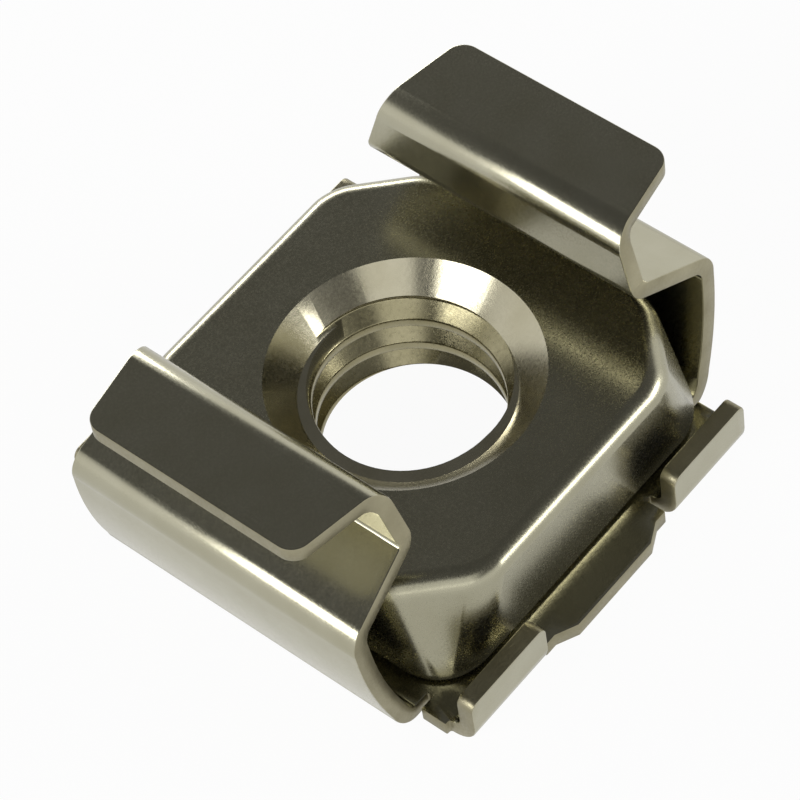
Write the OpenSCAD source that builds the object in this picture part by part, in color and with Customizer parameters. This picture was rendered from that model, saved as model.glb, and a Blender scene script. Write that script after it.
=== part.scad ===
// Rack cage nut: a square nut that floats in a folded spring-steel cage.
// Millimetres, +Z up. The origin is the middle of the cage's underside;
// X runs across the two wings, Y runs along them.

/* [Sheet] */
// Thickness of the spring-steel strip
sheet_t = 0.5; // [0.4:0.05:0.7]
// Inside radius of the large bend between base and wall
foot_r = 0.6; // [0.4:0.05:0.6]
// Inside radius of the bend between wall and shoulder
knee_r = 0.3; // [0.2:0.05:0.6]
// Inside radius of the tight fold at the bottom of the leg
vee_r = 0.1; // [0.1:0.05:0.3]
// Inside radius of the bend at the top of the leg
hook_r = 0.3; // [0.2:0.05:0.4]

/* [Base plate] */
// How far the base reaches past the nut's side, at each end
base_past = 0.75; // [0.65:0.05:0.85]
// How far each corner of the base reaches past the fold of a wing
corner_past = 0.3; // [0.2:0.05:0.4]
// Half the width of the middle tongue
tongue_x = 1.5; // [1:0.05:1.8]
// How far a tongue reaches past the nut's side
tongue_past = 1.05; // [0.9:0.05:1.3]
// Radius of the round ends of the window under the nut
window_r = 3.4; // [3:0.1:3.8]
// Distance between the centres of the window's round ends
window_run = 2.2; // [1.4:0.1:2.6]
// Gap cut beside each fold so that the sheet can bend freely
relief_gap = 0.15; // [0.1:0.05:0.3]

/* [Wings] */
// Play between the nut in the middle and each wall, at the nut's lower edge
side_play = 0.4; // [0.35:0.05:0.5]
// Angle by which a wall leans outward
wall_lean = 11; // [8:1:14]
// Flat length of a wall
wall_run = 3.45; // [3.3:0.05:3.7]
// Slope of the shoulder above the horizontal
shoulder_rise = 26; // [20:1:32]
// Flat length of the shoulder
shoulder_run = 2.05; // [1.9:0.05:2.2]
// Angle by which a leg leans outward
leg_lean = 5; // [0:1:12]
// Flat length of a leg
leg_run = 1; // [0.8:0.1:2]
// Flat length of a hook flap
flap_run = 2.1; // [1.7:0.05:2.5]
// Half width of a wing where it leaves the base
wing_foot_y = 4.85; // [4.7:0.05:5]
// Half width at the top of the wall
wing_knee_y = 4.65; // [4.4:0.05:4.7]
// Half width at the fold under the leg
wing_vee_y = 4.35; // [4.1:0.05:4.4]
// Half width at the top of the leg
wing_hook_y = 3.8; // [3.5:0.05:4]
// Half width at the free edge of a flap
flap_end_y = 3.35; // [3:0.05:3.5]
// Radius of a flap's two free corners
flap_corner_r = 0.45; // [0.2:0.05:0.8]

/* [End tabs] */
// Distance from the middle to a tab's inner end
tab_in_x = 2.65; // [2.3:0.05:2.9]
// How far a tab's outer end stays inside the corner of the base
tab_inset = 0.15; // [0.1:0.05:0.3]
// Gap between the nut's side and a tab
tab_gap = 0.5; // [0.4:0.05:0.7]
// Height of a tab above the underside of the base
tab_top_z = 1.85; // [1.6:0.05:2.2]
// Inside radius of a tab's bend
tab_r = 0.35; // [0.2:0.05:0.4]
// Radius of a tab's two free corners
tab_corner_r = 0.3; // [0.1:0.05:0.4]

/* [Nut] */
// Width of the square nut across its flats
nut_w = 11.3; // [11:0.1:11.3]
// Thickness of the nut
nut_t = 3.5; // [3:0.1:3.6]
// How far the loose nut lies off the middle, toward the +X wall
nut_slide = 0.3; // [0:0.05:0.3]
// Length cut from each side at a corner, on the top face
corner_top = 2.1; // [1.2:0.05:2.4]
// Length cut from each side at a corner, on the bottom face
corner_low = 0.9; // [0.6:0.05:1.2]
// Radius of the rolled edge round the top face
roll_r = 0.5; // [0.2:0.05:0.7]
// Chamfer round the bottom face
low_chamfer = 0.5; // [0.5:0.05:0.7]

/* [Thread] */
// Inside diameter of the M6 thread, at its crests
minor_d = 5; // [4.9:0.05:5.1]
// Diameter of the countersink at the top face
sink_d = 7.2; // [6.6:0.1:7.6]
// Diameter of the small chamfer at the bottom face
sink_low_d = 5.8; // [5.4:0.1:6.2]

/* [Hidden] */
$fn = 64;
over = 1;
// Overrun of a bend's arcs, so that none stops short of the flat beside it
hair = 0.00004;
// Where a wall leaves the base, so that it clears the nut's lower edge (whole microns)
fold_x = round(1000 * (nut_w / 2 + side_play
  - sqrt(pow(foot_r, 2) - pow(foot_r - low_chamfer, 2)))) / 1000;
corner_x = fold_x + corner_past;
base_y = nut_w / 2 + base_past;
tongue_y = nut_w / 2 + tongue_past;
tab_out_x = corner_x - tab_inset;
tab_in_y = nut_w / 2 + tab_gap;
tab_out_y = tab_in_y + sheet_t;
tab_fold_y = tab_out_y - tab_r - sheet_t;
corner_in_y = wing_foot_y + relief_gap;
root_run = 0.5;
// Headings of the wall, shoulder and leg, and the turns of the four bends
wall_turn = 90 - wall_lean;
shoulder_way = 180 - shoulder_rise;
knee_turn = shoulder_way - wall_turn;
leg_way = 90 - leg_lean;
vee_turn = leg_way - shoulder_way;
hook_turn = -leg_way;
// Sharp corners of the skin that is under the base, one for each bend
foot_at = [fold_x + cut_back(foot_r + sheet_t, wall_turn), 0];
knee_at = step(foot_at, wall_turn,
  cut_back(foot_r + sheet_t, wall_turn) + wall_run + cut_back(knee_r + sheet_t, knee_turn));
vee_at = step(knee_at, shoulder_way,
  cut_back(knee_r + sheet_t, knee_turn) + shoulder_run + cut_back(vee_r, vee_turn));
hook_at = step(vee_at, leg_way,
  cut_back(vee_r, vee_turn) + leg_run + cut_back(hook_r, hook_turn));
tip_at = step(hook_at, 0, cut_back(hook_r, hook_turn) + flap_run);
// Middles of the four bends
foot_mid = bend_middle(foot_at, 0, wall_turn, foot_r);
knee_mid = bend_middle(knee_at, wall_turn, knee_turn, knee_r);
vee_mid = bend_middle(vee_at, shoulder_way, vee_turn, vee_r);
hook_mid = bend_middle(hook_at, leg_way, hook_turn, hook_r);
corner_tilt = atan((corner_top - corner_low) / sqrt(2) / nut_t);
corner_reach = (nut_w - corner_top) / sqrt(2);
sink_depth = (sink_d - minor_d) / 2;
sink_low_depth = (sink_low_d - minor_d) / 2;

// ---------------------------------------------------------------- sheet metal
// A wing is drawn as its folded section, X across and Y up, and then widened.
// The strip runs from the base outward; a positive turn bends it to its left.

// Unit step along a heading
function way(heading) = [cos(heading), sin(heading)];

// Point reached from another after a run along a heading
function step(from, heading, run) = from + run * way(heading);

// Distance from a sharp corner back to where an arc of this radius begins
function cut_back(radius, turn) = radius * tan(abs(turn) / 2);

// Sharp corner of the upper skin that matches a corner of the lower skin
function upper(corner, heading, turn) =
  step(corner, heading + turn / 2 + 90, sheet_t / cos(turn / 2));

// Middle of a bend, found from the sharp corner of the lower skin
function bend_middle(corner, heading, turn, radius) =
  turn > 0
    ? step(corner, heading + turn / 2 + 90, (radius + sheet_t) / cos(turn / 2))
    : step(corner, heading + turn / 2 - 90, radius / cos(turn / 2));

// Four-sided sector round a bend's middle, as deep as the reach
module kite(reach, heading, turn) {
  first = heading - (turn > 0 ? 90 : -90);
  polygon([
    [0, 0],
    step([0, 0], first, reach),
    step([0, 0], first + turn / 2, reach / cos(turn / 2)),
    step([0, 0], first + turn, reach)
  ]);
}

// Sheet that fills the inner corner of a bend out to its inside radius
module bend_fill(middle, heading, turn, radius) {
  translate(middle)
    difference() {
      kite(radius + sheet_t / 2, heading, turn);
      circle(radius + hair);
    }
}

// Corner that is taken off the outside of a bend
module bend_round(middle, heading, turn, radius) {
  translate(middle)
    difference() {
      kite(radius + 1.2 * sheet_t, heading, turn);
      circle(radius + sheet_t + hair);
    }
}

// The strip with sharp corners, from inside the base to the tip of the flap
module sharp_strip() {
  polygon([
    [fold_x - root_run, 0], foot_at, knee_at, vee_at, hook_at, tip_at,
    tip_at + [0, sheet_t],
    upper(hook_at, leg_way, hook_turn),
    upper(vee_at, shoulder_way, vee_turn),
    upper(knee_at, wall_turn, knee_turn),
    upper(foot_at, 0, wall_turn),
    [fold_x - root_run, sheet_t]
  ]);
}

// The folded section: base edge, wall, shoulder, leg and hook flap
module wing_section() {
  difference() {
    union() {
      sharp_strip();
      bend_fill(foot_mid, 0, wall_turn, foot_r);
      bend_fill(knee_mid, wall_turn, knee_turn, knee_r);
      bend_fill(vee_mid, shoulder_way, vee_turn, vee_r);
      bend_fill(hook_mid, leg_way, hook_turn, hook_r);
    }
    bend_round(foot_mid, 0, wall_turn, foot_r);
    bend_round(knee_mid, wall_turn, knee_turn, knee_r);
    bend_round(vee_mid, shoulder_way, vee_turn, vee_r);
    bend_round(hook_mid, leg_way, hook_turn, hook_r);
  }
}

// Width of the wing at each height, seen from the side
module wing_side_outline() {
  for (side = [0, 1])
    mirror([side, 0, 0])
      polygon([
        [-over, -over], [wing_foot_y, -over], [wing_foot_y, foot_mid[1]],
        [wing_knee_y, knee_mid[1]], [wing_vee_y, vee_mid[1]],
        [wing_hook_y, hook_mid[1]], [wing_hook_y, tip_at[1] + over],
        [-over, tip_at[1] + over]
      ]);
}

// Outline of the hook flap seen from above, its free corners rounded
module flap_outline() {
  slant = atan((wing_hook_y - flap_end_y) / flap_run);
  mid_x = tip_at[0] - flap_corner_r;
  side_x = mid_x + flap_corner_r * sin(slant);
  side_y = wing_hook_y - (side_x - hook_mid[0]) * tan(slant);
  mid_y = side_y - flap_corner_r * cos(slant);
  polygon([
    [0, -wing_foot_y], [hook_mid[0], -wing_foot_y], [hook_mid[0], -wing_hook_y],
    [side_x, -side_y], [mid_x, -mid_y], [tip_at[0], -mid_y],
    [tip_at[0], mid_y], [mid_x, mid_y], [side_x, side_y],
    [hook_mid[0], wing_hook_y], [hook_mid[0], wing_foot_y], [0, wing_foot_y]
  ]);
  for (side = [-1, 1])
    translate([mid_x, side * mid_y])
      circle(flap_corner_r);
}

// One wing: wall, shoulder, leg and hook flap in one folded strip
module wing() {
  split_z = vee_mid[1] + leg_run / 2;
  difference() {
    intersection() {
      rotate([90, 0, 0])
        linear_extrude(2 * wing_foot_y, center = true)
          wing_section();
      rotate([90, 0, 90])
        linear_extrude(2 * fold_x)
          wing_side_outline();
    }
    translate([0, 0, split_z])
      linear_extrude(2 * tip_at[1])
        difference() {
          translate([0, -2 * wing_foot_y])
            square([2 * fold_x, 4 * wing_foot_y]);
          flap_outline();
        }
  }
}

// One flat panel that starts at the origin and runs along +X
module panel(run, half) {
  translate([0, -half, 0])
    cube([run, 2 * half, sheet_t]);
}

// The same panel with both free corners rounded
module end_panel(run, half, corner_r) {
  linear_extrude(sheet_t)
    union() {
      translate([0, -half])
        square([run - corner_r, 2 * half]);
      translate([0, corner_r - half])
        square([run, 2 * (half - corner_r)]);
      for (side = [-1, 1])
        translate([run - corner_r, side * (half - corner_r)])
          circle(corner_r);
    }
}

// A bend that turns a strip square upward and hands on the frame at its end
module square_bend(radius, half) {
  translate([0, half, sheet_t + radius])
    rotate([90, 90, 0])
      rotate_extrude(angle = 90)
        translate([radius, 0])
          square([sheet_t, 2 * half]);
  translate([radius + sheet_t, 0, radius + sheet_t])
    rotate([0, -90, 0])
      children();
}

// One upturned end tab that keeps the nut from sliding out along Y
module end_tab() {
  half = (tab_out_x - tab_in_x) / 2;
  translate([(tab_in_x + tab_out_x) / 2, tab_fold_y, 0])
    rotate([0, 0, 90]) {
      translate([-root_run, 0, 0])
        panel(root_run, half);
      square_bend(tab_r, half)
        end_panel(tab_top_z - tab_r - sheet_t, half, tab_corner_r);
    }
}

// Flat outline of the base, cut clear beside every fold
module base_outline() {
  square([2 * fold_x - root_run, 2 * wing_foot_y], center = true);
  square([2 * (fold_x - relief_gap), 2 * tab_fold_y], center = true);
  square([2 * (tab_in_x - relief_gap), 2 * base_y], center = true);
  square([2 * tongue_x, 2 * tongue_y], center = true);
  for (side = [0, 1])
    mirror([0, side, 0])
      translate([-corner_x, corner_in_y])
        square([2 * corner_x, tab_fold_y - corner_in_y]);
}

// Window with straight sides and round ends
module window_outline() {
  square([2 * window_r, window_run], center = true);
  for (side = [-1, 1])
    translate([0, side * window_run / 2])
      circle(window_r);
}

// The whole cage, one folded strip
module cage() {
  color([0.66, 0.64, 0.55]) {
    linear_extrude(sheet_t)
      difference() {
        base_outline();
        window_outline();
      }
    for (turn = [0, 180])
      rotate([0, 0, turn])
        wing();
    for (turn_x = [0, 1])
      for (turn_y = [0, 1])
        mirror([turn_x, 0, 0])
          mirror([0, turn_y, 0])
            end_tab();
  }
}

// ------------------------------------------------------------------------ nut
// Cutter that leaves a rolled edge along X at the top front of a block
module roll_cutter(run) {
  difference() {
    translate([-run / 2, -over, -roll_r])
      cube([run, over + roll_r, roll_r + over]);
    translate([-run / 2, roll_r, -roll_r])
      rotate([0, 90, 0])
        cylinder(h = run, r = roll_r);
  }
}

// Cutter that leaves a chamfer along X at the bottom front of a block
module chamfer_cutter(run) {
  side = low_chamfer * sqrt(2);
  rotate([45, 0, 0])
    translate([-run / 2, -side / 2, -side / 2])
      cube([run, side, side]);
}

// One sloping cut across a corner, wide at the top and narrow at the bottom
module corner_cutter() {
  rotate([0, 0, 45])
    translate([corner_reach, 0, nut_t])
      rotate([0, -corner_tilt, 0]) {
        translate([0, -nut_w / 2, -2 * nut_t])
          cube([nut_w, nut_w, 4 * nut_t]);
        rotate([0, 0, 90])
          roll_cutter(nut_w);
      }
}

// The square nut, standing on its own middle, with its hole and countersinks
module nut_block() {
  difference() {
    translate([-nut_w / 2, -nut_w / 2, 0])
      cube([nut_w, nut_w, nut_t]);
    for (turn = [0, 90, 180, 270])
      rotate([0, 0, turn]) {
        corner_cutter();
        translate([0, -nut_w / 2, nut_t])
          roll_cutter(2 * nut_w);
        translate([0, -nut_w / 2, 0])
          chamfer_cutter(2 * nut_w);
      }
    translate([0, 0, -over])
      cylinder(h = nut_t + 2 * over, d = minor_d);
    translate([0, 0, nut_t - sink_depth])
      cylinder(h = sink_depth + over, d1 = minor_d, d2 = sink_d + 2 * over);
    translate([0, 0, -over])
      cylinder(h = sink_low_depth + over, d1 = sink_low_d + 2 * over, d2 = minor_d);
  }
}

module square_nut() {
  color([0.58, 0.56, 0.47])
    translate([nut_slide, 0, sheet_t])
      nut_block();
}

cage();
square_nut();
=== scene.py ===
# %% [markdown]
# # A rack cage nut
#
# A cage nut holds a screw behind a rack rail. It is two pieces: a square
# threaded nut, and a cage folded from one strip of spring steel. The nut lies
# loose in the cage, and the two hooked wings snap into the rail's square hole.
#
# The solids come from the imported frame. Blender adds what a plain solid lacks:
# smooth bends, sheared edges, a real thread, worn plating and light.

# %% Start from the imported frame
import math

import bmesh
import bpy
from mathutils import Matrix, Vector


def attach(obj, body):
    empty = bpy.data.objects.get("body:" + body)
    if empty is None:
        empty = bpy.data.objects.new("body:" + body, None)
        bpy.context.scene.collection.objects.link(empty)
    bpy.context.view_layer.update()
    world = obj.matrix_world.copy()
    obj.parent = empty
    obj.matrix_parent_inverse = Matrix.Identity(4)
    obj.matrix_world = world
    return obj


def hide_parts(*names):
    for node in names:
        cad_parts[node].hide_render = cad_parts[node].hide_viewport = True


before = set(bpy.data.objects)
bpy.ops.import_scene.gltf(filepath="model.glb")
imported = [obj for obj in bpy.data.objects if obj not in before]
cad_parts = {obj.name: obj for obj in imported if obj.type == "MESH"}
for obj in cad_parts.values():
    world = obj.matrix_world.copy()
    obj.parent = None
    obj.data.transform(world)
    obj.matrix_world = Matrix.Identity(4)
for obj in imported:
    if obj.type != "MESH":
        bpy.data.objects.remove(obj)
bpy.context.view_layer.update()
MM = 0.001
print("nodes", sorted(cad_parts))

# %% [markdown]
# ## Small tools
#
# Every shape below is made the way it is made by hand: a primitive is added,
# faces or edges are picked by their place, and an operator acts on them. These
# helpers only pick, enter edit mode and apply modifiers. Sizes are written in
# millimetres and turned to metres in one place.


# %% Helpers for picking and shaping
def only(piece):
    """Make this piece the only selected one, and the active one."""
    bpy.ops.object.select_all(action="DESELECT")
    piece.select_set(True)
    bpy.context.view_layer.objects.active = piece
    return piece


def edit(piece, kind="VERT"):
    """Go into edit mode with nothing selected."""
    only(piece)
    bpy.ops.object.mode_set(mode="EDIT")
    bpy.ops.mesh.select_mode(type=kind)
    bpy.ops.mesh.select_all(action="DESELECT")


def done():
    """Leave edit mode."""
    bpy.ops.object.mode_set(mode="OBJECT")


def pick(kind, test):
    """Select the points, edges or faces whose corners, in millimetres, pass a test."""
    mesh = bmesh.from_edit_mesh(bpy.context.edit_object.data)
    count = 0
    for item in getattr(mesh, kind):
        corners = [item.co] if kind == "verts" else [v.co for v in item.verts]
        hit = test([c / MM for c in corners])
        item.select_set(hit)
        count += hit
    mesh.select_flush_mode()
    bmesh.update_edit_mesh(bpy.context.edit_object.data)
    return count


def near(value, target):
    """True within a few microns."""
    return abs(value - target) < 0.004


SLACK = 0.01  # room left when points are picked by their place, in millimetres


def cut(place, normal, keep_both=True):
    """Cut everything in the piece along a plane given in millimetres."""
    bpy.ops.mesh.select_all(action="SELECT")
    bpy.ops.mesh.bisect(
        plane_co=Vector(place) * MM, plane_no=normal,
        use_fill=not keep_both, clear_outer=not keep_both, threshold=1e-7,
    )


def bevel(width, segments, affect="EDGES"):
    """Round the selected edges or points; the width is in millimetres."""
    bpy.ops.mesh.bevel(
        offset_type="OFFSET", offset=width * MM, segments=segments, profile=0.5,
        affect=affect, clamp_overlap=False,
    )


def modify(piece, kind, **settings):
    """Add a modifier with its settings and apply it."""
    only(piece)
    modifier = piece.modifiers.new(kind.title(), kind)
    for name, value in settings.items():
        setattr(modifier, name, value)
    bpy.ops.object.modifier_apply(modifier=modifier.name)


def faces_of(piece):
    """Print how many faces a piece has, for the reader."""
    print(piece.name, len(piece.data.polygons), "faces")


# %% [markdown]
# ## The camera
#
# The view comes from above one corner, with a long lens held a little askew.
# The camera is placed by its azimuth, elevation, roll and distance, so that it
# is easy to read which side it looks at.

# %% Camera
VIEW_TURN = math.radians(-42.648)
VIEW_RISE = math.radians(53.805)
VIEW_ROLL = math.radians(-9.976)
VIEW_DISTANCE = 105.82
VIEW_SIDE = 0.342
VIEW_LIFT = -1.808
LENS = 182.3

backward = Vector((
    math.sin(VIEW_TURN) * math.cos(VIEW_RISE),
    -math.cos(VIEW_TURN) * math.cos(VIEW_RISE),
    math.sin(VIEW_RISE),
))
level = Vector((math.cos(VIEW_TURN), math.sin(VIEW_TURN), 0))
upward = backward.cross(level)
camera_right = math.cos(VIEW_ROLL) * level + math.sin(VIEW_ROLL) * upward
camera_up = math.cos(VIEW_ROLL) * upward - math.sin(VIEW_ROLL) * level

camera_data = bpy.data.cameras.new("camera")
camera_data.lens = LENS
camera_data.clip_start = 0.001
camera = bpy.data.objects.new("camera", camera_data)
bpy.context.scene.collection.objects.link(camera)
place = (backward * VIEW_DISTANCE - camera_right * VIEW_SIDE - camera_up * VIEW_LIFT) * MM
camera.matrix_world = Matrix.Translation(place) @ Matrix(
    (camera_right, camera_up, backward)).transposed().to_4x4()
bpy.context.scene.camera = camera
print("camera at", [round(v, 4) for v in place])

# %% [markdown]
# ## The folded section
#
# Sheet metal is drawn by its middle surface: flat runs that meet at sharp
# corners. Each corner is then beveled into an arc, and thickness comes last.
# The arc's radius is the inside radius of the bend plus half the sheet.

# %% Sizes of the strip, in millimetres
SHEET = 0.5
FOLD_X = 5.458
WALL_LEAN, SHOULDER_RISE, LEG_LEAN = 11, 26, 5
WALL_RUN, SHOULDER_RUN, LEG_RUN, FLAP_RUN = 3.45, 2.05, 1.0, 2.1
HEADINGS = [0, 90 - WALL_LEAN, 180 - SHOULDER_RISE, 90 - LEG_LEAN, 0]
BEND_RADII = [0.6, 0.3, 0.1, 0.3]
HALF_WIDTHS = [4.85, 4.62, 4.35, 3.8, 3.35]


def way(heading):
    """Unit step in the section, X across and Z up."""
    return Vector((math.cos(math.radians(heading)), 0, math.sin(math.radians(heading))))


def setback(bend):
    """Distance from a bend's sharp corner to where its arc begins."""
    turn = abs(HEADINGS[bend + 1] - HEADINGS[bend])
    return (BEND_RADII[bend] + SHEET / 2) * math.tan(math.radians(turn) / 2)


corners = [Vector((FOLD_X + setback(0), 0, SHEET / 2))]
for bend, run in enumerate([WALL_RUN, SHOULDER_RUN, LEG_RUN]):
    step = setback(bend) + run + setback(bend + 1)
    corners.append(corners[-1] + way(HEADINGS[bend + 1]) * step)
corners.append(corners[-1] + way(0) * (setback(3) + FLAP_RUN))
print("sharp corners of the section", [(round(c.x, 2), round(c.z, 2)) for c in corners])

# %% [markdown]
# ## One quarter of the cage
#
# The cage is the same on all four quarters, so one quarter is modelled and
# mirrored. The base starts as a plane that covers the quarter. It is cut along
# the lines of its outline, and the patches outside the outline are deleted.

# %% Base plate outline
TONGUE_X, TONGUE_Y = 1.5, 6.7
TAB_IN_X, TAB_OUT_X, TAB_FOLD_Y, TAB_TOP_Z = 2.65, 5.608, 5.8, 1.85
TAB_RADIUS = 0.35
BASE_Y = 6.4
CORNER_X, CORNER_IN_Y = 5.758, 5.0
RELIEF = 0.15


def in_base(x, y):
    """True where the quarter of the base plate has steel."""
    return (
        (x < FOLD_X - RELIEF and y < TAB_FOLD_Y)
        or (y < HALF_WIDTHS[0])
        or (x < TAB_IN_X - RELIEF and y < BASE_Y)
        or (x < TONGUE_X and y < TONGUE_Y)
        or (x < CORNER_X and CORNER_IN_Y < y < TAB_FOLD_Y)
    )


bpy.ops.object.select_all(action="DESELECT")
bpy.ops.mesh.primitive_plane_add(size=1)
cage = bpy.context.object
cage.name = cage.data.name = "cage_steel"
edit(cage)
bpy.ops.mesh.select_all(action="SELECT")
bpy.ops.transform.resize(value=(corners[0].x * MM, TONGUE_Y * MM, 1))
bpy.ops.transform.translate(value=Vector((corners[0].x / 2, -TONGUE_Y / 2, SHEET / 2)) * MM)
for x in (TONGUE_X, TAB_IN_X - RELIEF, TAB_IN_X, FOLD_X - RELIEF, TAB_OUT_X, CORNER_X):
    cut((x, 0, 0), (1, 0, 0))
for y in (HALF_WIDTHS[0], CORNER_IN_Y, TAB_FOLD_Y, BASE_Y):
    cut((0, -y, 0), (0, 1, 0))
bpy.ops.mesh.select_mode(type="FACE")
bpy.ops.mesh.select_all(action="DESELECT")


def outside(points):
    """True for a patch whose middle is off the plate."""
    middle = sum(points, Vector()) / len(points)
    return not in_base(middle.x, -middle.y)


pick("faces", outside)
bpy.ops.mesh.delete(type="FACE")
done()
faces_of(cage)

# %% [markdown]
# ## Folding up the wing and the tab
#
# The edge where the wing leaves is extruded from corner to corner of the
# section, and narrowed at each fold. The tab's edge goes out and straight up.

# %% Wing
edit(cage, "EDGE")


def wing_edge(at):
    """Test for the edge that ends the strip at this point of the section."""
    return lambda points: all(near(p.x, at.x) and near(p.z, at.z)
                              and -p.y < HALF_WIDTHS[0] + SLACK for p in points)


pick("edges", wing_edge(corners[0]))
for index in range(1, len(corners)):
    bpy.ops.mesh.extrude_edges_move(
        TRANSFORM_OT_translate={"value": (corners[index] - corners[index - 1]) * MM})
    narrowing = HALF_WIDTHS[index] / HALF_WIDTHS[index - 1]
    bpy.ops.transform.resize(value=(1, narrowing, 1), center_override=(0, 0, 0))

# %% Tab
TAB_SETBACK = TAB_RADIUS + SHEET / 2


def tab_root(points):
    """Test for the base's edge where the tab leaves."""
    return all(near(-p.y, TAB_FOLD_Y) and near(p.z, SHEET / 2)
               and TAB_IN_X - SLACK < p.x < TAB_OUT_X + SLACK for p in points)


bpy.ops.mesh.select_all(action="DESELECT")
pick("edges", tab_root)
bpy.ops.mesh.extrude_edges_move(TRANSFORM_OT_translate={"value": (0, -TAB_SETBACK * MM, 0)})
bpy.ops.mesh.extrude_edges_move(
    TRANSFORM_OT_translate={"value": (0, 0, (TAB_TOP_Z - SHEET / 2) * MM)})
done()

# %% Bend arcs and rounded corners
edit(cage, "EDGE")
ARC_STEPS = [14, 12, 10, 12]
FLAP_CORNER_R, TAB_CORNER_R = 0.45, 0.3
for bend in range(4):
    bpy.ops.mesh.select_all(action="DESELECT")
    pick("edges", wing_edge(corners[bend]))
    bevel(setback(bend), ARC_STEPS[bend])

# A spring wall is never quite flat: it swells outward a little between its bends.
WALL_SWELL, SWELL_STEPS = 0.13, 8
wall_low = corners[0] + way(HEADINGS[1]) * setback(0)
wall_out = way(HEADINGS[1] - 90)


def on_wall(points, low=-SLACK, high=WALL_RUN + SLACK):
    """Test for points on the wall's flat, between two distances up the wall."""
    return all(abs((p - wall_low).dot(wall_out)) < SLACK
               and low < (p - wall_low).dot(way(HEADINGS[1])) < high for p in points)


bpy.ops.mesh.select_mode(type="FACE")
for index in range(1, SWELL_STEPS):
    bpy.ops.mesh.select_all(action="DESELECT")
    pick("faces", on_wall)
    line = wall_low + way(HEADINGS[1]) * (WALL_RUN * index / SWELL_STEPS)
    bpy.ops.mesh.bisect(plane_co=line * MM, plane_no=way(HEADINGS[1]), threshold=1e-7)
bpy.ops.mesh.select_mode(type="VERT")
for index in range(1, SWELL_STEPS):
    bpy.ops.mesh.select_all(action="DESELECT")
    share = index / SWELL_STEPS
    height = WALL_RUN * share
    pick("verts", lambda points: on_wall(points, height - SLACK, height + SLACK))
    bpy.ops.transform.translate(value=wall_out * (WALL_SWELL * 4 * share * (1 - share)) * MM)
bpy.ops.mesh.select_mode(type="EDGE")
bpy.ops.mesh.select_all(action="DESELECT")
tab_y = TAB_FOLD_Y + TAB_SETBACK
# The base's own line at BASE_Y has the same place in Y, so this takes it too, and
# the tongue's square step comes out slanted. It is a known fault of this model.
pick("edges", lambda points: all(near(-p.y, tab_y) and near(p.z, SHEET / 2) for p in points))
bevel(TAB_SETBACK, 10)
bpy.ops.mesh.select_mode(type="VERT")
tip = corners[-1]
bpy.ops.mesh.select_all(action="DESELECT")
pick("verts", lambda points: near(points[0].x, tip.x) and near(-points[0].y, HALF_WIDTHS[4]))
bevel(FLAP_CORNER_R, 8, "VERTICES")


def tab_corner(points):
    """Test for the two upper corners of the tab."""
    at = points[0]
    at_side = near(at.x, TAB_IN_X) or near(at.x, TAB_OUT_X)
    return at_side and near(at.z, TAB_TOP_Z) and near(-at.y, tab_y)


bpy.ops.mesh.select_all(action="DESELECT")
pick("verts", tab_corner)
bevel(TAB_CORNER_R, 6, "VERTICES")
done()
faces_of(cage)

# %% [markdown]
# ## Whole cage
#
# Two mirrors make the quarter whole, Solidify gives the sheet its thickness,
# and the window is cut with a rounded cutter. The sides of the sheet get their
# own material slot, because a sheared edge is rougher than a rolled skin.

# %% Mirror, thickness and window
modify(cage, "MIRROR", use_axis=(True, True, False), merge_threshold=1e-6)
edit(cage)
bpy.ops.mesh.select_all(action="SELECT")
bpy.ops.mesh.remove_doubles(threshold=1e-6)
bpy.ops.mesh.normals_make_consistent(inside=False)
done()
for slot_name in ("skin", "sheared"):
    cage.data.materials.append(bpy.data.materials.new(slot_name))
modify(cage, "SOLIDIFY", thickness=SHEET * MM, offset=0, use_even_offset=True,
       material_offset_rim=1, use_quality_normals=True)
WINDOW_R, WINDOW_RUN = 3.4, 2.2
EDGE_WEAR = 0.045
bpy.ops.object.select_all(action="DESELECT")
bpy.ops.mesh.primitive_cylinder_add(vertices=96, radius=WINDOW_R * MM, depth=2 * MM)
cutter = bpy.context.object
edit(cutter)
for side in (1, -1):
    bpy.ops.mesh.select_all(action="DESELECT")
    pick("verts", lambda points: points[0].y * side > 0.001)
    bpy.ops.transform.translate(value=(0, side * WINDOW_RUN / 2 * MM, 0))
done()
cutter.data.materials.append(cage.data.materials[1])
modify(cage, "BOOLEAN", operation="DIFFERENCE", object=cutter, solver="EXACT",
       material_mode="TRANSFER")
bpy.data.objects.remove(cutter)
modify(cage, "BEVEL", width=EDGE_WEAR * MM, segments=2, limit_method="ANGLE",
       angle_limit=math.radians(50), use_clamp_overlap=True, miter_outer="MITER_ARC")
faces_of(cage)

# %% [markdown]
# ## The square nut
#
# The nut is a block pressed from bar: its corners are cut off at a slope, the
# top edge is rolled round, and the lower edge has a plain chamfer. The hole is
# countersunk and tapped. The block is made round the Z axis and moved last.

# %% Block
NUT_W, NUT_T, NUT_SLIDE = 11.3, 3.5, 0.3
CORNER_TOP, CORNER_LOW = 2.1, 0.9
CORNER_ROUND, ROLL, LOW_CHAMFER = 0.6, 0.5, 0.5
bpy.ops.object.select_all(action="DESELECT")
bpy.ops.mesh.primitive_cube_add(size=1)
nut = bpy.context.object
nut.name = nut.data.name = "nut_steel"
edit(nut)
bpy.ops.mesh.select_all(action="SELECT")
bpy.ops.transform.resize(value=(NUT_W * MM, NUT_W * MM, NUT_T * MM))
bpy.ops.transform.translate(value=(0, 0, NUT_T / 2 * MM))
tilt = math.atan((CORNER_TOP - CORNER_LOW) / math.sqrt(2) / NUT_T)
reach = (NUT_W - CORNER_TOP) / math.sqrt(2)
for quarter in range(4):
    turn = math.radians(45 + 90 * quarter)
    out = Vector((math.cos(turn), math.sin(turn), 0))
    normal = out * math.cos(tilt) + Vector((0, 0, math.sin(tilt)))
    cut(out * reach + Vector((0, 0, NUT_T)), normal, keep_both=False)
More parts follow.
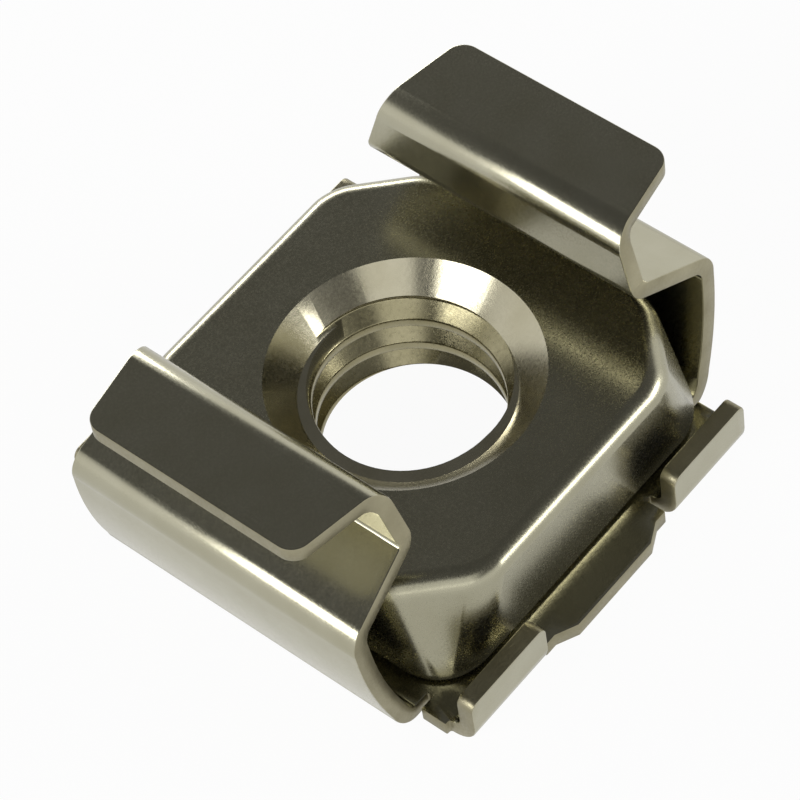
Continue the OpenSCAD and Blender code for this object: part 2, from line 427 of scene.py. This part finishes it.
bpy.ops.mesh.select_mode(type="EDGE")
bpy.ops.mesh.select_all(action="DESELECT")
pick("edges", lambda points: abs(points[0].z - points[1].z) > 1)
bevel(CORNER_ROUND, 8)
bpy.ops.mesh.select_all(action="DESELECT")
pick("edges", lambda points: all(near(p.z, NUT_T) for p in points))
bevel(ROLL, 8)
bpy.ops.mesh.select_all(action="DESELECT")
pick("edges", lambda points: all(near(p.z, 0) for p in points))
bevel(LOW_CHAMFER, 2)
done()
faces_of(nut)

# %% [markdown]
# ## The thread
#
# An M6 thread climbs one millimetre a turn. One turn's outline is drawn as a
# zigzag line, and a Screw modifier winds it up the axis into a tap. The tap's
# ends are cut flat and closed, and it is then taken out of the block.

# %% Tap
PITCH = 1.0
CREST_R, ROOT_R = 2.5, 2.98
TURNS = 8
TAP_START = -2.88
TAP_PAST = 0.7  # how far the tap reaches past the nut at each end
outline = [
    (CREST_R, 0), (CREST_R, 0.12), (CREST_R + 0.03, 0.17), (ROOT_R - 0.03, 0.42),
    (ROOT_R, 0.47), (ROOT_R, 0.53), (ROOT_R - 0.03, 0.58), (CREST_R + 0.03, 0.83),
    (CREST_R, 0.88), (CREST_R, 1.0),
]
tap_mesh = bpy.data.meshes.new("tap")
tap_mesh.from_pydata(
    [(r * MM, 0, (z * PITCH + TAP_START) * MM) for r, z in outline],
    [(i, i + 1) for i in range(len(outline) - 1)], [])
tap = bpy.data.objects.new("tap", tap_mesh)
bpy.context.scene.collection.objects.link(tap)
modify(tap, "SCREW", axis="Z", angle=math.radians(360), screw_offset=PITCH * MM,
       iterations=TURNS, steps=72, render_steps=72, use_merge_vertices=True,
       merge_threshold=1e-6)
edit(tap)
bpy.ops.mesh.select_all(action="SELECT")
bpy.ops.mesh.remove_doubles(threshold=1e-6)
cut((0, 0, NUT_T + TAP_PAST), (0, 0, 1), keep_both=False)
cut((0, 0, -TAP_PAST), (0, 0, -1), keep_both=False)
bpy.ops.mesh.select_all(action="SELECT")
bpy.ops.mesh.normals_make_consistent(inside=False)
done()
faces_of(tap)

# %% Countersinks
SINK_R, SINK_FLOOR_R, SINK_LOW_R = 3.65, 2.85, 2.9
SINK_TIP_R = 2.3
OVER = 0.5  # how far a cutter stands out of the nut


def cone(low_r, high_r, low_z, high_z):
    """A cone round the Z axis, in millimetres."""
    bpy.ops.object.select_all(action="DESELECT")
    bpy.ops.mesh.primitive_cone_add(
        vertices=96, radius1=low_r * MM, radius2=high_r * MM, depth=(high_z - low_z) * MM,
        location=(0, 0, (low_z + high_z) / 2 * MM))
    bpy.ops.object.transform_apply(location=True)
    return bpy.context.object


for slot_name in ("pressed", "threaded", "turned"):
    nut.data.materials.append(bpy.data.materials.new(slot_name))
sinks = [cone(SINK_FLOOR_R, SINK_R + OVER, NUT_T - (SINK_R - SINK_FLOOR_R), NUT_T + OVER),
         cone(SINK_LOW_R + OVER, SINK_TIP_R, -OVER, SINK_LOW_R - SINK_TIP_R)]
for tool, finish in ((tap, 1), (sinks[0], 2), (sinks[1], 2)):
    tool.data.materials.clear()
    tool.data.materials.append(nut.data.materials[finish])
    modify(nut, "BOOLEAN", operation="DIFFERENCE", object=tool, solver="EXACT",
           material_mode="TRANSFER")
    bpy.data.objects.remove(tool)
edit(nut)
bpy.ops.mesh.select_all(action="SELECT")
bpy.ops.transform.translate(value=Vector((NUT_SLIDE, 0, SHEET)) * MM)
done()
faces_of(nut)

# %% [markdown]
# ## Finishes
#
# Both pieces are plated steel with a warm, faintly yellow passivation. Colours
# are written as screen hex values and turned to linear light once. A metal's
# look comes mostly from what it mirrors, so roughness and fine bumps matter
# more than colour.


# %% Colour and node helpers
def ink(code):
    """A screen hex colour as linear light."""
    parts = [int(code[i:i + 2], 16) / 255 for i in (1, 3, 5)]
    return [*(c / 12.92 if c <= 0.04045 else ((c + 0.055) / 1.055) ** 2.4 for c in parts), 1]


def node(tree, kind, settings=None, **inputs):
    """Add a node; inputs are values, or (node, output) pairs to link."""
    made = tree.nodes.new("ShaderNode" + kind)
    for name, value in (settings or {}).items():
        setattr(made, name, value)
    for name, value in inputs.items():
        socket = made.inputs[int(name[1:])] if name[0] == "i" and name[1:].isdigit() \
            else made.inputs[name.replace("_", " ")]
        if isinstance(value, tuple) and isinstance(value[0], bpy.types.Node):
            tree.links.new(value[0].outputs[value[1]], socket)
        else:
            socket.default_value = value
    return made


def ramp(tree, source, stops):
    """A colour ramp over (position, colour) stops."""
    made = node(tree, "ValToRGB", Fac=source)
    band = made.color_ramp
    while len(band.elements) < len(stops):
        band.elements.new(0.5)
    for element, (position, colour) in zip(band.elements, stops):
        element.position = position
        element.color = colour
    return made


def grey(value):
    """A neutral colour in linear light."""
    return [value, value, value, 1]


# %% Plated steel
MOTTLE_MM = 1.1
SCRATCH_MM = (2.5, 0.09, 0.6)
SCRATCH_TURN = 0.35
SCRATCH_SHARE = 0.6


def plated(material, light, dark, rough_low, rough_high, grain_mm, depth_mm):
    """Plated steel: a mottled tint, fine grain and long faint scratches."""
    material.use_nodes = True
    tree = material.node_tree
    tree.nodes.clear()
    place_in = node(tree, "TexCoord")
    here = (place_in, "Object")
    mottle = node(tree, "TexNoise", Vector=here, Scale=1 / (MOTTLE_MM * MM), Detail=4.0)
    grain = node(tree, "TexNoise", Vector=here, Scale=1 / (grain_mm * MM), Detail=3.0)
    stretch = node(tree, "Mapping", Vector=here, Rotation=(0, 0, SCRATCH_TURN),
                   Scale=tuple(1 / (length * MM) for length in SCRATCH_MM))
    scratch = node(tree, "TexNoise", Vector=(stretch, "Vector"), Scale=1.0, Detail=2.0)
    colour = node(tree, "Mix", {"data_type": "RGBA"}, i0=(mottle, "Fac"),
                  i6=ink(light), i7=ink(dark))
    rough = node(tree, "MapRange", Value=(grain, "Fac"), From_Min=0.3, From_Max=0.7,
                 To_Min=rough_low, To_Max=rough_high)
    mixed = node(tree, "Math", {"operation": "MULTIPLY_ADD"}, i0=(scratch, "Fac"),
                 i1=SCRATCH_SHARE, i2=(grain, "Fac"))
    bump = node(tree, "Bump", Height=(mixed, "Value"), Strength=0.35, Distance=depth_mm * MM)
    shader = node(tree, "BsdfPrincipled", Base_Color=(colour, 2), Metallic=1.0,
                  Roughness=(rough, "Result"), Normal=(bump, "Normal"))
    node(tree, "OutputMaterial", Surface=(shader, "BSDF"))
    return material


FINISHES = {
    "skin": ("plated_spring_steel", "#B9B6A2", "#A9A58D", 0.16, 0.26, 0.06, 0.003),
    "sheared": ("sheared_spring_steel", "#B0AA90", "#7D775E", 0.30, 0.50, 0.06, 0.012),
    "pressed": ("plated_pressed_steel", "#B1AE99", "#9F9B84", 0.20, 0.30, 0.06, 0.003),
    "threaded": ("tapped_steel", "#B5AE8E", "#8C8564", 0.18, 0.30, 0.10, 0.004),
    "turned": ("turned_steel", "#C9C4AE", "#ABA58A", 0.16, 0.24, 0.08, 0.003),
}
for key, (name, *values) in FINISHES.items():
    material = bpy.data.materials[key]
    plated(material, *values)
    material.name = name
print("finishes", sorted(m[0] for m in FINISHES.values()))

# %% Smooth bends with crisp edges
SMOOTH_BELOW = math.radians(32)
PIECES = ((cage, "cage", "cage_steel"), (nut, "square_nut", "nut_steel"))
for piece, node_name, slot_name in PIECES:
    only(piece)
    bpy.ops.object.shade_smooth_by_angle(angle=SMOOTH_BELOW)
    modify(piece, "WEIGHTED_NORMAL", keep_sharp=True, weight=60)
    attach(piece, "root")
    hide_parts(node_name)
    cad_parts[node_name].data.materials.clear()
    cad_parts[node_name].data.materials.append(piece.data.materials[0])

# %% [markdown]
# ## Floor and light
#
# The part lies on a plain white floor in a plain soft studio. Metal shows its
# surroundings, so the sky is bright near the horizon and darker overhead, and
# four soft panels give the bends their long highlights.

# %% Floor
SEEN_GLOW, MIRRORED_GLOW = 0.30, 0.65  # glow the camera sees besides, and mirrors see
bpy.ops.object.select_all(action="DESELECT")
bpy.ops.mesh.primitive_plane_add(size=2, location=(0, 0, 0))
floor = bpy.context.object
floor.name = "floor"
paper = bpy.data.materials.new("white_paper")
paper.use_nodes = True
tree = paper.node_tree
tree.nodes.clear()
path = node(tree, "LightPath")
seen = node(tree, "Math", {"operation": "MAXIMUM"}, i0=(path, "Is Camera Ray"),
            i1=(path, "Is Glossy Ray"))
mirrored = node(tree, "Math", {"operation": "MULTIPLY"}, i0=(seen, "Value"),
                i1=MIRRORED_GLOW)
share = node(tree, "Math", {"operation": "MULTIPLY_ADD"}, i0=(path, "Is Camera Ray"),
             i1=SEEN_GLOW, i2=(mirrored, "Value"))
matt = node(tree, "BsdfDiffuse", Color=ink("#F4F4F2"))
glow = node(tree, "Emission", Color=ink("#FFFFFF"), Strength=1.0)
blend = node(tree, "MixShader", Fac=(share, "Value"), i1=(matt, "BSDF"), i2=(glow, "Emission"))
node(tree, "OutputMaterial", Surface=(blend, "Shader"))
floor.data.materials.append(paper)

# %% Sky
world = bpy.data.worlds.new("studio")
bpy.context.scene.world = world
world.use_nodes = True
tree = world.node_tree
tree.nodes.clear()
direction = node(tree, "TexCoord")
split = node(tree, "SeparateXYZ", Vector=(direction, "Generated"))
sky = ramp(tree, (split, "Z"), [
    (0.0, grey(1.0)), (0.36, grey(0.95)), (0.54, grey(0.14)), (1.0, grey(0.10)),
])
light_up = node(tree, "Background", Color=(sky, "Color"), Strength=1.0)
node(tree, "OutputWorld", Surface=(light_up, "Background"))


# %% Lamps
def panel(name, turn, rise, distance, size, power):
    """A soft square panel that faces the part."""
    data = bpy.data.lights.new(name, "AREA")
    data.shape = "RECTANGLE"
    data.size, data.size_y = size
    data.energy = power
    lamp = bpy.data.objects.new(name, data)
    bpy.context.scene.collection.objects.link(lamp)
    turn, rise = math.radians(turn), math.radians(rise)
    away = Vector((math.sin(turn) * math.cos(rise), -math.cos(turn) * math.cos(rise),
                   math.sin(rise)))
    lamp.location = away * distance
    lamp.rotation_euler = away.to_track_quat("Z", "Y").to_euler()
    return lamp


panel("key_panel", -100, 28, 0.5, (0.26, 0.22), 1.0)
panel("front_panel", -42, 36, 0.5, (0.30, 0.30), 0.25)
panel("back_panel", 150, 14, 0.5, (0.30, 0.10), 0.8)
panel("right_panel", 40, 16, 0.5, (0.30, 0.14), 0.9)
scene = bpy.context.scene
scene.view_settings.view_transform = "Standard"

# %% [markdown]
# ## Finish
#
# The view layer is brought up to date.

# %% Finish
bpy.context.view_layer.update()
